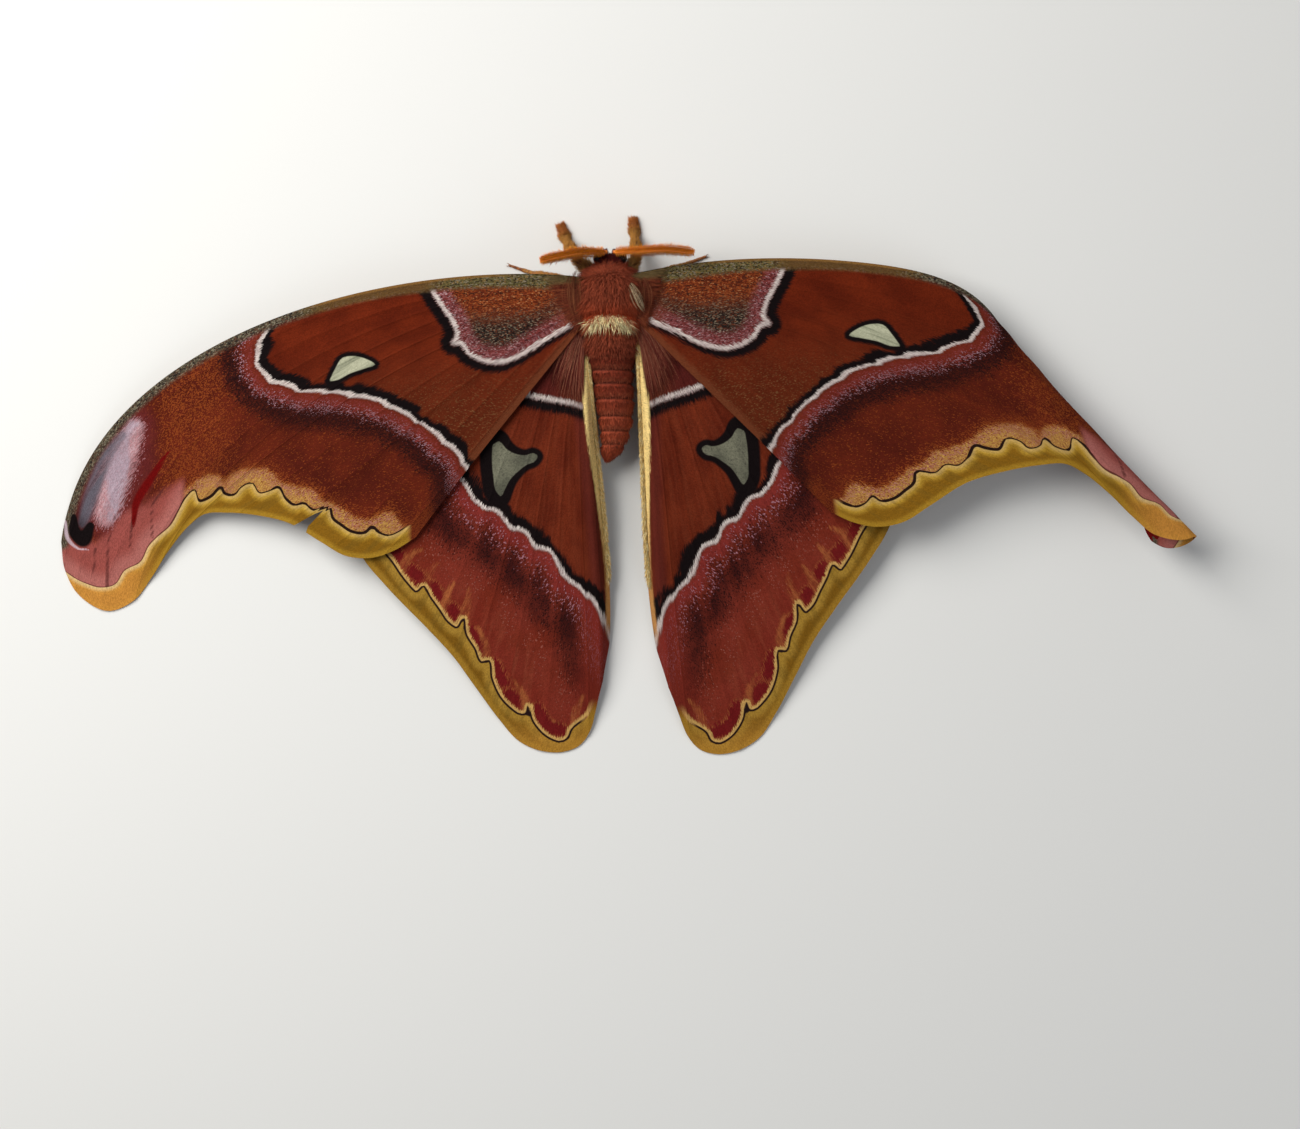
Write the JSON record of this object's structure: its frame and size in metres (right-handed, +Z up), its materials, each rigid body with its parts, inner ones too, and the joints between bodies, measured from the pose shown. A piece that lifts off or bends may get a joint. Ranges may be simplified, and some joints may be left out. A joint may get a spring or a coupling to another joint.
{
  "type": "atlas moth",
  "caption": "Life-size still male atlas moth resting with its hooked, patterned wings spread flat, feathery feelers held up.",
  "frame": {"origin": "middle of the moth's outline seen from above, on the floor that it rests on", "axes": "+Z up, +Y the way the head points, +X towards the moth's right wing tip"},
  "size_m": [0.2398, 0.1147, 0.0174],
  "materials": {
    "fur": "soft reddish-brown fur",
    "eye": "glossy dark brown, finely faceted",
    "feeler": "orange, finely fringed",
    "wing": "brick-red scales with white, black and yellow markings",
    "leg": "short ochre fur"
  },
  "bodies": {
    "root": {"thorax": "fur", "head": "fur", "abdomen": "fur", "eye_left": "eye", "eye_right": "eye", "antenna_left": "feeler", "antenna_right": "feeler", "forewing_left": "wing", "forewing_right": "wing", "hindwing_left": "wing", "hindwing_right": "wing", "foreleg_left": "leg", "foreleg_right": "leg", "midleg_left": "leg", "midleg_right": "leg", "hindleg_left": "leg", "hindleg_right": "leg"}
  },
  "joints": []
}
